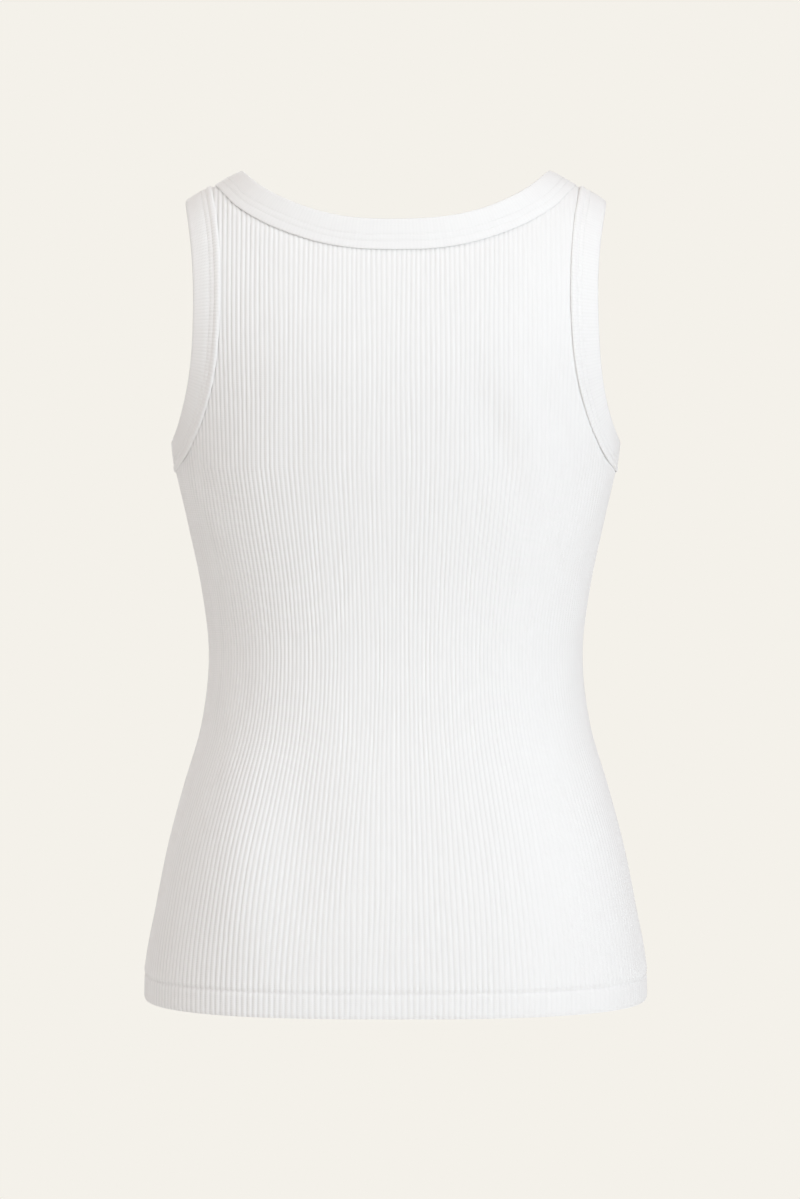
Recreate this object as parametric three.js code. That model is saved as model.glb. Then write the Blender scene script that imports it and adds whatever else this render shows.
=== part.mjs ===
import * as THREE from 'three';

// A ribbed tank top, filled out as if worn, in millimetres: x to the wearer's left, y to the back, z up.
// The origin lies midway between the tops of the shoulders, where a wearer or a bust holds the garment.

// Cloth: a wall with a plain inside, raised into ribs outside
const ribsPerPanel = 124;
const ribHeight = 0.65;
const wallThickness = 1.7;
const seamGap = 0.3;
const plainStep = 8;

// Hem, turned up inside, held by a row of stitches that presses the cloth in, and higher at the side seams
const hemBottom = -578;
const stitchLine = -561;
const stitchWidth = 3;
const stitchDepth = 0.7;
const hemThickness = 2.5;
const hemRise = { height: 6, from: -510 };

// Bands: folded strips that run out from their seams, tilted up from the panels' surface by some degrees
const neckBand = { width: 20.5, tilt: 15 };
const armBand = { width: 20, tilt: -3 };
const bandLip = { width: 2.2, height: 0.7, root: -0.5, swell: 0.6 };
const bandEdge = { inset: 0.8, height: 0.3, middle: -0.7 };
const bandInside = { out: 0.5, up: -2.0 };

// The general figure that holds the garment open: half widths, and depths back and front of the side seams
const figure = [
  { z: -578, halfWidth: 178, back: 118, front: 112, squareness: 2.6 },
  { z: -552, halfWidth: 177, back: 118, front: 112, squareness: 2.6 },
  { z: -510, halfWidth: 170, back: 115, front: 110, squareness: 2.65 },
  { z: -467, halfWidth: 161.5, back: 108, front: 107, squareness: 2.6 },
  { z: -425, halfWidth: 150.5, back: 101, front: 102, squareness: 2.4 },
  { z: -382, halfWidth: 138, back: 94, front: 97, squareness: 2.25 },
  { z: -332, halfWidth: 132.5, back: 90, front: 95, squareness: 2.25 },
  { z: -286, halfWidth: 137.5, back: 91, front: 99, squareness: 2.35 },
  { z: -243, halfWidth: 146.5, back: 95, front: 106, squareness: 2.45 },
  { z: -202, halfWidth: 156, back: 99.5, front: 112, squareness: 2.4 },
  { z: -150, halfWidth: 168, back: 102, front: 113, squareness: 2.35 },
  { z: -100, halfWidth: 181, back: 102, front: 113, squareness: 2.4 },
  { z: -50, halfWidth: 190, back: 102, front: 113, squareness: 2.4 },
  { z: 0, halfWidth: 194, back: 102, front: 113, squareness: 2.4 },
];

// Above its fullest level each side curves over to the shoulder line, which arches down from the neck
const fullest = { back: -150, front: -195 };
const shoulderLine = { top: 23.7, fall: 0.00141, fadesAt: -150 };

// Levels of the cloth's crosswise lines, from the hem to the shoulder
const underarm = -202;
const hemLevels = [hemBottom, stitchLine, stitchLine + stitchWidth];
const bodyLevels = [-510, -457, -406, -358, -310, -260, -209];
const upperLevels = [-168, -125, -88, -58, -34, -15, -4, 0];
const clothLevels = [...hemLevels, ...bodyLevels, ...upperLevels];

// Neck seams, half of each, from the centre line to the shoulder: distance round from the centre, and height
const neckSeams = {
  back: [
    { round: 0, z: -51 },
    { round: 28, z: -50 },
    { round: 54, z: -45.2 },
    { round: 78, z: -36.8 },
    { round: 97, z: -27.3 },
    { round: 113, z: -15.6 },
    { round: 127, z: 1 },
  ],
  front: [
    { round: 0, z: -116 },
    { round: 24, z: -113.5 },
    { round: 48, z: -105 },
    { round: 72, z: -87 },
    { round: 93, z: -61 },
    { round: 110, z: -30 },
    { round: 127, z: 1 },
  ],
};

// Arm seams from the shoulder down to the side seam, which they meet at the underarm
const armSeams = {
  back: [
    { round: 131.5, z: 0 },
    { round: 126, z: -30 },
    { round: 123.7, z: -62 },
    { round: 124, z: -95 },
    { round: 127.4, z: -126 },
    { round: 134.4, z: -152 },
    { round: 146, z: -175 },
    { round: 162.3, z: -192 },
    { round: 183.5, z: -200 },
  ],
  front: [
    { round: 131.5, z: 0 },
    { round: 123.5, z: -30 },
    { round: 119, z: -64 },
    { round: 117.4, z: -98 },
    { round: 120.4, z: -130 },
    { round: 129.2, z: -157 },
    { round: 143.8, z: -179 },
    { round: 164, z: -194 },
    { round: 188, z: -200.5 },
  ],
};
const neckStations = 15;
const armStations = 24;

const sides = [
  { name: 'back', facing: 1 },
  { name: 'front', facing: -1 },
];

const halfRibs = ribsPerPanel / 2;

// Points this near a grid line are put on it: a share of a rib's width, which is about ribPitch
const snap = 0.05;
const ribPitch = 3.4;

// Steps of the curves' reckoning, and the differences that count as none
const quarterSteps = 160;
const fineSteps = 600;
const settleSteps = 30;
const normalStep = 0.01;
const tiny = 1e-9;
const thinnest = 1e-7;

const cottonWhite = new THREE.MeshStandardMaterial({ color: 0xf3f2ef, roughness: 0.9, metalness: 0 });
const bandWhite = new THREE.MeshStandardMaterial({ color: 0xf5f4f1, roughness: 0.88, metalness: 0 });

// The figure between the rows of its table
const figureRows = [...figure].sort((a, b) => a.z - b.z);
const figureCurve = new THREE.CubicInterpolant(
  figureRows.map((row) => row.z),
  figureRows.flatMap((row) => [row.halfWidth, row.back, row.front, row.squareness]),
  4,
);

function figureAt(side, level) {
  const [halfWidth, back, front, squareness] = figureCurve.evaluate(level);
  const full = fullest[side.name];
  const rise = Math.max(0, (level - full) / -full);
  const roll = Math.sqrt(Math.max(0, 1 - rise * rise));
  return { halfWidth, depth: (side.name === 'back' ? back : front) * roll, squareness };
}

// One quarter of the section at a level, from the centre line round to the side seam, with its lengths
const quarters = new Map();

function quarterAt(side, level) {
  const key = `${side.name} ${level.toFixed(5)}`;
  if (!quarters.has(key)) {
    const { halfWidth, depth, squareness } = figureAt(side, level);
    const points = [];
    const lengths = [0];
    for (let i = 0; i <= quarterSteps; i++) {
      const angle = (Math.PI / 2) * (1 - i / quarterSteps);
      const across = Math.cos(angle);
      const along = Math.sin(angle);
      const reach = (across ** squareness + along ** squareness) ** (-1 / squareness);
      points.push(new THREE.Vector2(halfWidth * reach * across, depth * reach * along));
      if (i > 0) lengths.push(lengths[i - 1] + points[i].distanceTo(points[i - 1]));
    }
    points[quarterSteps].y = 0;
    quarters.set(key, { points, lengths });
  }
  return quarters.get(key);
}

function halfGirth(side, level) {
  return quarterAt(side, level).lengths[quarterSteps];
}

// A point on the outside of the cloth, by its distance round from the centre line and its level
function surfacePoint(side, round, level) {
  const { points, lengths } = quarterAt(side, level);
  const distance = Math.abs(round);
  let low = 0;
  let high = quarterSteps;
  while (high - low > 1) {
    const middle = (low + high) >> 1;
    if (lengths[middle] <= distance) low = middle;
    else high = middle;
  }
  const share = (distance - lengths[low]) / (lengths[high] - lengths[low]);
  const flat = points[low].clone().lerp(points[high], share);
  const x = Math.sign(round) * flat.x;
  const lift = shoulderLift(x, level) + hemLift(distance / lengths[quarterSteps], level);
  return new THREE.Vector3(x, side.facing * (seamGap / 2 + flat.y), level + lift);
}

function shoulderLift(x, level) {
  const fade = Math.max(0, 1 - level / shoulderLine.fadesAt);
  return fade * fade * (shoulderLine.top - shoulderLine.fall * x * x);
}

function hemLift(share, level) {
  const grown = Math.max(0, Math.min(1, (hemRise.from - level) / (hemRise.from - stitchLine)));
  return hemRise.height * share ** 3 * grown;
}

function surfaceNormal(side, round, level) {
  const limit = halfGirth(side, level) - normalStep;
  const inner = Math.max(-limit, Math.min(limit, round));
  const upper = Math.min(level + normalStep, 0);
  const acrossStep = surfacePoint(side, inner + normalStep, level);
  acrossStep.sub(surfacePoint(side, inner - normalStep, level));
  const upStep = surfacePoint(side, inner, upper).sub(surfacePoint(side, inner, upper - 2 * normalStep));
  return upStep.cross(acrossStep).multiplyScalar(side.facing).normalize();
}

// Ribs keep their share of the girth below the underarm and run straight up above it
function ribWidth(side, level) {
  return halfGirth(side, Math.min(level, underarm)) / halfRibs;
}

// The cloth is laid out flat as ribs across and levels up
function onCloth(side, row) {
  let level = row.z;
  for (let i = 0; i < settleSteps; i++) {
    const x = surfacePoint(side, row.round, Math.min(level, 0)).x;
    level = row.z - shoulderLift(x, Math.min(level, 0));
  }
  level = Math.min(level, 0);
  return new THREE.Vector2(row.round / ribWidth(side, level), level);
}

function onBody(side, point) {
  return { round: point.x * ribWidth(side, point.y), level: point.y };
}

// Stations along a seam, evenly spaced on the body
function stationsAlong(side, points, count) {
  const fine = new THREE.SplineCurve(points).getPoints(fineSteps);
  const places = fine.map((p) => {
    const { round, level } = onBody(side, p);
    return surfacePoint(side, round, Math.min(level, 0));
  });
  const lengths = [0];
  for (let i = 1; i <= fineSteps; i++) lengths.push(lengths[i - 1] + places[i].distanceTo(places[i - 1]));
  return Array.from({ length: count }, (_, n) => {
    const wanted = (lengths[fineSteps] * n) / (count - 1);
    const i = Math.max(1, lengths.findIndex((length) => length >= wanted - tiny));
    const share = (wanted - lengths[i - 1]) / (lengths[i] - lengths[i - 1]);
    const station = fine[i - 1].clone().lerp(fine[i], share);
    station.y = Math.min(station.y, 0);
    return station;
  });
}

// Seam points of one panel on the wearer's left, on the flat cloth
function seamsOf(side) {
  const neckRows = neckSeams[side.name].map((row) => onCloth(side, row));
  const armRows = armSeams[side.name].map((row) => onCloth(side, row));
  neckRows[neckRows.length - 1].y = 0;
  armRows[0].y = 0;
  const mirrored = neckRows.slice(1).reverse().map((p) => new THREE.Vector2(-p.x, p.y));
  const neck = stationsAlong(side, [...mirrored, ...neckRows], 2 * neckStations - 1).slice(neckStations - 1);
  neck[0].x = 0;
  const armEnd = new THREE.Vector2(halfRibs, underarm);
  const arm = stationsAlong(side, [...armRows, armEnd], armStations);
  return { neck, arm };
}

// Points near a line of the grid are put on it, so that no sliver is left between them
function snapped(point, columns, levels) {
  const near = (value, lines, reach) => lines.find((line) => Math.abs(line - value) < reach) ?? value;
  return new THREE.Vector2(near(point.x, columns, snap), near(point.y, levels, snap * ribPitch));
}

// The panel's outline on the flat cloth, anticlockwise from the lower edge
function outlineOf(seams, columns, levels) {
  const right = [...seams.arm].reverse().concat([...seams.neck].reverse());
  const left = right.slice(0, -1).reverse().map((p) => new THREE.Vector2(-p.x, p.y));
  const corners = [new THREE.Vector2(-halfRibs, hemBottom), new THREE.Vector2(halfRibs, hemBottom)];
  return [...corners, ...right, ...left].map((p) => snapped(p, columns, levels));
}

function pointKey(point) {
  return `${point.x.toFixed(6)} ${point.y.toFixed(6)}`;
}

// The outline with a point wherever it crosses a line of the grid
function crossedOutline(outline, columns, levels) {
  const crossed = [];
  outline.forEach((start, i) => {
    const end = outline[(i + 1) % outline.length];
    const shares = [];
    for (const line of columns) shares.push((line - start.x) / (end.x - start.x));
    for (const line of levels) shares.push((line - start.y) / (end.y - start.y));
    const inside = shares.filter((share) => share > tiny && share < 1 - tiny).sort((a, b) => a - b);
    const crossings = inside.map((share) => snapped(start.clone().lerp(end, share), columns, levels));
    for (const point of [start, ...crossings]) {
      if (!crossed.length || pointKey(crossed[crossed.length - 1]) !== pointKey(point)) crossed.push(point);
    }
  });
  return crossed;
}

// Keeps the part of a shape on one side of a line across it
function keepSide(shape, axis, line, sign) {
  const kept = [];
  shape.forEach((start, i) => {
    const end = shape[(i + 1) % shape.length];
    const startSide = sign * (start[axis] - line);
    const endSide = sign * (end[axis] - line);
    if (startSide >= -thinnest) kept.push(start);
    if ((startSide > thinnest && endSide < -thinnest) || (startSide < -thinnest && endSide > thinnest)) {
      const cut = start.clone().lerp(end, startSide / (startSide - endSide));
      cut[axis] = line;
      kept.push(cut);
    }
  });
  return kept;
}

function withoutRepeats(shape) {
  return shape.filter((point, i) => pointKey(point) !== pointKey(shape[(i + 1) % shape.length]));
}

function turn(a, b, c) {
  return (b.x - a.x) * (c.y - a.y) - (b.y - a.y) * (c.x - a.x);
}

// How far a corner is from a sliver
function cornerQuality(a, b, c) {
  const longest = Math.max(a.distanceToSquared(b), b.distanceToSquared(c), c.distanceToSquared(a));
  return turn(a, b, c) / longest;
}

function cornerHolds(a, b, c, point) {
  return turn(a, b, point) > -tiny && turn(b, c, point) > -tiny && turn(c, a, point) > -tiny;
}

// Cuts a shape into triangles, best corner first, without losing a point
function cutIntoTriangles(shape) {
  const rest = [...shape];
  const triangles = [];
  while (rest.length > 2) {
    let best = -1;
    let bestQuality = thinnest;
    for (let i = 0; i < rest.length; i++) {
      const a = rest[(i + rest.length - 1) % rest.length];
      const b = rest[i];
      const c = rest[(i + 1) % rest.length];
      const quality = cornerQuality(a, b, c);
      const blocked = rest.some((p) => p !== a && p !== b && p !== c && cornerHolds(a, b, c, p));
      if (quality > bestQuality && !blocked) {
        best = i;
        bestQuality = quality;
      }
    }
    if (best < 0) break;
    const before = rest[(best + rest.length - 1) % rest.length];
    const after = rest[(best + 1) % rest.length];
    triangles.push([before, rest[best], after]);
    rest.splice(best, 1);
  }
  return triangles;
}

// Triangles of the flat cloth, cell by cell of its grid, cut off at the outline
function fillOutline(outline, columns, levels) {
  const triangles = [];
  for (let i = 0; i + 1 < columns.length; i++) {
    const strip = keepSide(keepSide(outline, 'x', columns[i], 1), 'x', columns[i + 1], -1);
    for (let j = 0; j + 1 < levels.length; j++) {
      const cell = keepSide(keepSide(strip, 'y', levels[j], 1), 'y', levels[j + 1], -1);
      triangles.push(...cutIntoTriangles(withoutRepeats(cell)));
    }
  }
  return triangles;
}

// The loop of edges that only one triangle has, from a given point on
function borderOf(triangles, startKey) {
  const next = new Map();
  const edgeKey = (p, q) => `${pointKey(p)}|${pointKey(q)}`;
  const edges = new Set(triangles.flatMap((t) => t.map((p, i) => edgeKey(p, t[(i + 1) % 3]))));
  for (const t of triangles) {
    t.forEach((p, i) => {
      const q = t[(i + 1) % 3];
      if (!edges.has(edgeKey(q, p))) next.set(pointKey(p), q);
    });
  }
  const border = [];
  let key = startKey;
  do {
    const point = next.get(key);
    border.push(point);
    key = pointKey(point);
  } while (key !== startKey);
  border.unshift(border.pop());
  return border;
}

// The outer points stand on the figure, down in the valleys between ribs and along the stitches
function outerDepth(point) {
  const offValley = Math.abs(point.x - Math.round(point.x));
  const pressed = point.y === stitchLine;
  return ribHeight * (1 - 2 * offValley) + (pressed ? stitchDepth : 0);
}

function innerDepth(point) {
  return point.y <= stitchLine ? hemThickness : wallThickness;
}

function placed(side, point, depth) {
  const { round, level } = onBody(side, point);
  const place = surfacePoint(side, round, level);
  place.addScaledVector(surfaceNormal(side, round, level), -depth);
  const edge = seamGap / 2;
  if (side.facing * place.y < edge) place.y = side.facing * edge;
  return place;
}

// Collects points and faces of one closed solid
class SolidBuilder {
  constructor() {
    this.places = [];
    this.indices = [];
    this.byKey = new Map();
  }

  point(place) {
    const key = place.toArray().map((value) => value.toFixed(4)).join(' ');
    if (!this.byKey.has(key)) {
      this.byKey.set(key, this.places.length / 3);
      this.places.push(...place.toArray());
    }
    return this.byKey.get(key);
  }

  face(corners, flipped = false) {
    const [a, b, c] = flipped ? [corners[0], corners[2], corners[1]] : corners;
    if (a !== b && b !== c && c !== a) this.indices.push(a, b, c);
  }

  mesh(name, material) {
    const geometry = new THREE.BufferGeometry();
    geometry.setAttribute('position', new THREE.Float32BufferAttribute(this.places, 3));
    geometry.setIndex(this.indices);
    const mesh = new THREE.Mesh(geometry, material);
    mesh.name = name;
    return mesh;
  }
}

// One panel: outer and inner faces from the same outline, joined round its edge
function panelMesh(side) {
  const columns = Array.from({ length: 2 * ribsPerPanel + 1 }, (_, i) => i / 2 - halfRibs);
  const plainColumns = columns.filter((_, i) => i % plainStep === 0);
  const outline = outlineOf(seamsOf(side), columns, clothLevels);
  const outer = fillOutline(crossedOutline(outline, columns, clothLevels), columns, clothLevels);
  const inner = fillOutline(crossedOutline(outline, plainColumns, clothLevels), plainColumns, clothLevels);
  const startKey = pointKey(outline[0]);
  const outerBorder = borderOf(outer, startKey);
  const innerBorder = borderOf(inner, startKey);

  const solid = new SolidBuilder();
  const outerPoint = (p) => solid.point(placed(side, p, outerDepth(p)));
  const innerPoint = (p) => solid.point(placed(side, p, innerDepth(p)));
  const inward = side.facing > 0;
  for (const [a, b, c] of outer) solid.face([a, b, c].map(outerPoint), inward);
  for (const [a, b, c] of inner) solid.face([a, b, c].map(innerPoint), !inward);
  for (const [outerRun, innerRun] of sharedRuns(outerBorder, innerBorder)) {
    const strip = zipped(outerRun, innerRun);
    for (const corners of strip) {
      const places = corners.map(({ p, isOuter }) => (isOuter ? outerPoint(p) : innerPoint(p)));
      solid.face(places, inward);
    }
  }
  return solid.mesh(`${side.name}_panel`, cottonWhite);
}

// Two borders in runs between the points that both have
function sharedRuns(outerBorder, innerBorder) {
  const outerKeys = new Map(outerBorder.map((p, i) => [pointKey(p), i]));
  const pairs = innerBorder.map((p, i) => ({ i, j: outerKeys.get(pointKey(p)) }));
  const shared = pairs.filter(({ j }) => j !== undefined);
  return shared.map((start, n) => {
    const end = shared[(n + 1) % shared.length];
    return [runBetween(outerBorder, start.j, end.j), runBetween(innerBorder, start.i, end.i)];
  });
}

function runBetween(border, from, to) {
  const run = [border[from]];
  for (let i = from; i !== to; i = (i + 1) % border.length) run.push(border[(i + 1) % border.length]);
  return run;
}

// Triangles between an outer run and an inner run that start and end together
function zipped(outerRun, innerRun) {
  const strip = [];
  let i = 0;
  let j = 0;
  const start = outerRun[0];
  while (i + 1 < outerRun.length || j + 1 < innerRun.length) {
    const outerNext = outerRun[i + 1];
    const innerNext = innerRun[j + 1];
    const takeOuter = outerNext && (!innerNext || outerNext.distanceTo(start) <= innerNext.distanceTo(start));
    const outerNow = { p: outerRun[i], isOuter: true };
    const innerNow = { p: innerRun[j], isOuter: false };
    if (takeOuter) {
      strip.push([outerNow, innerNow, { p: outerNext, isOuter: true }]);
      i++;
    } else {
      strip.push([outerNow, innerNow, { p: innerNext, isOuter: false }]);
      j++;
    }
  }
  return strip;
}

// Seam points all round an opening, each with the cloth's normal there
function seamRing(seamName, across) {
  const [backHalf, frontHalf] = sides.map((side) => seamsOf(side)[seamName].map((p) => {
    const { round, level } = onBody(side, new THREE.Vector2(across * p.x, p.y));
    return { place: surfacePoint(side, round, level), normal: surfaceNormal(side, round, level) };
  }));
  return [...backHalf, ...frontHalf.reverse().slice(1)];
}

// The two halves of the neck make one ring, and so do the back and front of an armhole
function neckRing() {
  const left = seamRing('neck', 1);
  const right = seamRing('neck', -1).reverse();
  return [...left, ...right.slice(1, -1)];
}

function armRing(across) {
  return seamRing('arm', across).slice(0, -1);
}

// The section of a band, out from the seam and up from the tops of the ribs
function bandSection(width) {
  return [
    { out: seamGap, up: bandLip.root },
    { out: seamGap + bandLip.width / 3, up: bandLip.swell },
    { out: seamGap + bandLip.width, up: bandLip.height },
    { out: width - bandEdge.inset, up: bandEdge.height },
    { out: width, up: bandEdge.middle },
    { out: width - bandEdge.inset, up: bandInside.up },
    bandInside,
  ];
}

// A band: the folded strip's section carried round the seam, laid out from the panels' edge
function bandMesh(name, ring, { width, tilt }) {
  const solid = new SolidBuilder();
  const section = bandSection(width);
  const lean = THREE.MathUtils.degToRad(tilt);
  const centre = ring.reduce((sum, station) => sum.add(station.place), new THREE.Vector3());
  centre.divideScalar(ring.length);
  const rings = ring.map((station, i) => {
    const before = ring[(i + ring.length - 1) % ring.length].place;
    const after = ring[(i + 1) % ring.length].place;
    const flat = after.clone().sub(before).cross(station.normal).normalize();
    if (flat.dot(centre.clone().sub(station.place)) < 0) flat.negate();
    const up = station.normal.clone().multiplyScalar(Math.cos(lean)).addScaledVector(flat, -Math.sin(lean));
    const out = flat.multiplyScalar(Math.cos(lean)).addScaledVector(station.normal, Math.sin(lean));
    return section.map((corner) => {
      const place = station.place.clone().addScaledVector(out, corner.out).addScaledVector(up, corner.up);
      return solid.point(place);
    });
  });
  const along = ring[1].place.clone().sub(ring[0].place);
  const flipped = along.cross(ring[0].normal).dot(centre.clone().sub(ring[0].place)) > 0;
  rings.forEach((corners, i) => {
    const nextCorners = rings[(i + 1) % rings.length];
    corners.forEach((corner, j) => {
      const k = (j + 1) % corners.length;
      solid.face([corner, nextCorners[j], nextCorners[k]], flipped);
      solid.face([corner, nextCorners[k], corners[k]], flipped);
    });
  });
  return solid.mesh(name, bandWhite);
}

const tankTop = new THREE.Group();
tankTop.add(...sides.map(panelMesh));
tankTop.add(bandMesh('neck_band', neckRing(), neckBand));
tankTop.add(bandMesh('arm_band_left', armRing(1), armBand));
tankTop.add(bandMesh('arm_band_right', armRing(-1), armBand));

export default tankTop;
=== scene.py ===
import math

import bpy
import numpy as np
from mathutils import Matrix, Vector


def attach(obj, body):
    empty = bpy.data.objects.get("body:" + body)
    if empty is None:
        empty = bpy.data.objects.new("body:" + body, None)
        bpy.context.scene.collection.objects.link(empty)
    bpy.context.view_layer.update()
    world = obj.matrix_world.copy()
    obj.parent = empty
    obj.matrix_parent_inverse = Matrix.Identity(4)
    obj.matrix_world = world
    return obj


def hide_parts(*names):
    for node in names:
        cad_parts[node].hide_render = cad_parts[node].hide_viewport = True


# A ribbed tank top filled out as worn: two rib-knit panels, three folded bands and their stitches.
# Tables are in millimetres, and mm turns them into metres. +X is the wearer's left, +Y the back, +Z up.
mm = 0.001

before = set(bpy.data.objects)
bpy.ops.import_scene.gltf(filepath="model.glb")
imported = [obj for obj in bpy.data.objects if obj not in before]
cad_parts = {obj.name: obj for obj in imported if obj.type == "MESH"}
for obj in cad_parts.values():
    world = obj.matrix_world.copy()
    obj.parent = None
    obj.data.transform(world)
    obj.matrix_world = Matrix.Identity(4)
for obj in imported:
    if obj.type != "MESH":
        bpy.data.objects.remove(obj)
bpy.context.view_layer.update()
print("frame loaded")


# Camera: behind the garment and level with its middle, as the photograph was taken

cameraSizes = {
    "lens": 112.06,  # with the sensor along the picture's long side
    "sensor": 36.0,
    "place": (-3, 2650, -293),
}


def addCamera():
    data = bpy.data.cameras.new("camera")
    data.lens = cameraSizes["lens"]
    data.sensor_width = cameraSizes["sensor"]
    data.sensor_fit = "AUTO"
    camera = bpy.data.objects.new("camera", data)
    camera.location = Vector(cameraSizes["place"]) * mm
    camera.rotation_euler = (math.pi / 2, 0, math.pi)
    bpy.context.collection.objects.link(camera)
    bpy.context.scene.camera = camera


addCamera()
print("camera placed")


# The general figure under the cloth

figure = {
    "columns": ("z", "halfWidth", "back", "front", "squareness"),
    "rows": [
        (-578, 178, 118, 112, 2.6),
        (-552, 177, 118, 112, 2.6),
        (-510, 170, 115, 110, 2.65),
        (-467, 161.5, 108, 107, 2.6),
        (-425, 150.5, 101, 102, 2.4),
        (-382, 138, 94, 97, 2.25),
        (-332, 132.5, 90, 95, 2.25),
        (-286, 137.5, 91, 99, 2.35),
        (-243, 146.5, 95, 106, 2.45),
        (-202, 156, 99.5, 112, 2.4),
        (-150, 168, 102, 113, 2.35),
        (-100, 181, 102, 113, 2.4),
        (-50, 190, 102, 113, 2.4),
        (0, 194, 102, 113, 2.4),
    ],
    "fullest": {"back": -150, "front": -195},  # above these levels each side curves over
    "facing": {"back": 1, "front": -1},
    "shoulderTop": 23.7,
    "shoulderFall": 0.00141,
    "liftFadesAt": -150,
    "hemRise": 6,  # at the side seams, grown from one level to the next
    "hemRiseLevels": (-510, -561),
    "underarm": -202,
    "sectionSteps": 320,
    "normalStep": 0.02,
}
figureRows = np.array(figure["rows"], float)
figureLevels = figureRows[:, 0]
figureValues = figureRows[:, 1:]
sections = {}


def figureAt(level):
    secants = np.diff(figureValues, axis=0) / np.diff(figureLevels)[:, None]
    slopes = np.vstack([secants[:1], (secants[1:] + secants[:-1]) / 2, secants[-1:]])
    level = min(max(level, figureLevels[0]), figureLevels[-1])
    i = int(np.clip(np.searchsorted(figureLevels, level, side="right") - 1, 0, len(figureLevels) - 2))
    span = figureLevels[i + 1] - figureLevels[i]
    t = (level - figureLevels[i]) / span
    start = figureValues[i] * (2 * t**3 - 3 * t**2 + 1) + slopes[i] * span * (t**3 - 2 * t**2 + t)
    end = figureValues[i + 1] * (3 * t**2 - 2 * t**3) + slopes[i + 1] * span * (t**3 - t**2)
    return start + end


def sectionAt(side, level):
    # a quarter of the section, from the centre line round to the side seam, with its lengths
    key = (side, round(float(level), 4))
    if key not in sections:
        sizes = dict(zip(figure["columns"][1:], figureAt(level)))
        full = figure["fullest"][side]
        rise = max(0.0, (level - full) / -full)
        depth = sizes[side] * math.sqrt(max(0.0, 1 - rise * rise))
        angle = np.linspace(math.pi / 2, 0, figure["sectionSteps"] + 1)
        across = np.cos(angle)
        along = np.sin(angle)
        power = sizes["squareness"]
        reach = (across**power + along**power) ** (-1 / power)
        xs = sizes["halfWidth"] * reach * across
        ys = depth * reach * along
        lengths = np.concatenate([[0], np.cumsum(np.hypot(np.diff(xs), np.diff(ys)))])
        sections[key] = (lengths, xs, ys)
    return sections[key]


def shoulderLift(x, level):
    fade = np.maximum(0, 1 - level / figure["liftFadesAt"])
    return fade**2 * (figure["shoulderTop"] - figure["shoulderFall"] * x**2)


def hemLift(share, level):
    start, full = figure["hemRiseLevels"]
    return figure["hemRise"] * share**3 * np.clip((start - level) / (start - full), 0, 1)


def surfacePoints(side, distance, level, gap=0.0):
    # points on the outside of the cloth, by distance round from the centre line and by level
    distance = np.asarray(distance, float)
    level = np.minimum(np.asarray(level, float), 0)
    places = np.empty((len(level), 3))
    order = np.argsort(level, kind="stable")
    for group in np.split(order, np.flatnonzero(np.diff(level[order])) + 1):
        lengths, xs, ys = sectionAt(side, level[group[0]])
        away = np.abs(distance[group])
        places[group, 0] = np.sign(distance[group]) * np.interp(away, lengths, xs)
        places[group, 1] = figure["facing"][side] * (gap + np.interp(away, lengths, ys))
        places[group, 2] = level[group] + hemLift(np.minimum(away / lengths[-1], 1), level[group])
    places[:, 2] += shoulderLift(places[:, 0], level)
    return places


def surfaceNormals(side, distance, level):
    step = figure["normalStep"]
    top = np.minimum(level + step, 0)
    across = surfacePoints(side, distance + step, level) - surfacePoints(side, distance - step, level)
    up = surfacePoints(side, distance, top) - surfacePoints(side, distance, top - 2 * step)
    normals = np.cross(up, across) * figure["facing"][side]
    return normals / np.linalg.norm(normals, axis=1)[:, None]


# Ribs, counted from the centre line: they keep their share of the girth below the underarm, and run
# straight up above it

ribs = {
    "halfPanel": 62,
    "height": 0.54,
    "columnsEach": 5,
    "levelSpacing": 2.0,
    # distances from the centre line of the back, to the wearer's right and left
    "flatter": {"starts": 62, "full": 112, "lost": 0.5, "ends": 165, "back": 205, "regained": 0.6},
    "deeper": {"starts": 60, "full": 130, "gained": 0.34},
    "wander": 0.09,  # of a rib
    "wanderSpans": (2.1, 34),  # ribs across, and millimetres along
    "uneven": 0.14,  # of the height
    "unevenSpans": (1.3, 22),
    "unevenEach": 0.6,
    "unevenLimits": (0.6, 1.4),
    "calmNearSeam": 3,  # ribs
    "patternStart": 200,  # keeps the knit pattern's places above zero
}
ribLevels = np.arange(figureLevels[0], figure["underarm"] + 1, ribs["levelSpacing"])
ribWidths = {
    side: np.array([sectionAt(side, level)[0][-1] / ribs["halfPanel"] for level in ribLevels])
    for side in ("back", "front")
}


def ribWidth(side, level):
    return np.interp(level, ribLevels, ribWidths[side])


# Seams, half of each panel: distance round from the centre line, and height

seams = {
    "neck": {
        "back": [(0, -51), (28, -50), (54, -45.2), (78, -36.8), (97, -27.3), (113, -15.6), (127, 1)],
        "front": [(0, -116), (24, -113.5), (48, -105), (72, -87), (93, -61), (110, -30), (127, 1)],
    },
    "arm": {
        "back": [
            (131.5, 0), (126, -30), (123.7, -62), (124, -95), (127.4, -126),
            (134.4, -152), (146, -175), (162.3, -192), (183.5, -200),
        ],
        "front": [
            (131.5, 0), (123.5, -30), (119, -64), (117.4, -98), (120.4, -130),
            (129.2, -157), (143.8, -179), (164, -194), (188, -200.5),
        ],
    },
    "fineSteps": 40,  # between two rows
    "settlePasses": 30,
    "clear": 0.12,  # the cloth ends this far short of its seam
    "beyond": 1e3,  # stands for the distance to a seam that isn't at this level
    "closeTo": 1e-9,
}


def onCloth(side, rows):
    # from distance and height to ribs across and level
    rows = np.array(rows, float)
    level = np.minimum(rows[:, 1], 0)
    for _ in range(seams["settlePasses"]):
        x = surfacePoints(side, rows[:, 0], level)[:, 0]
        level = np.minimum(rows[:, 1] - shoulderLift(x, level), 0)
    return np.column_stack([rows[:, 0] / ribWidth(side, level), level])


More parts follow.
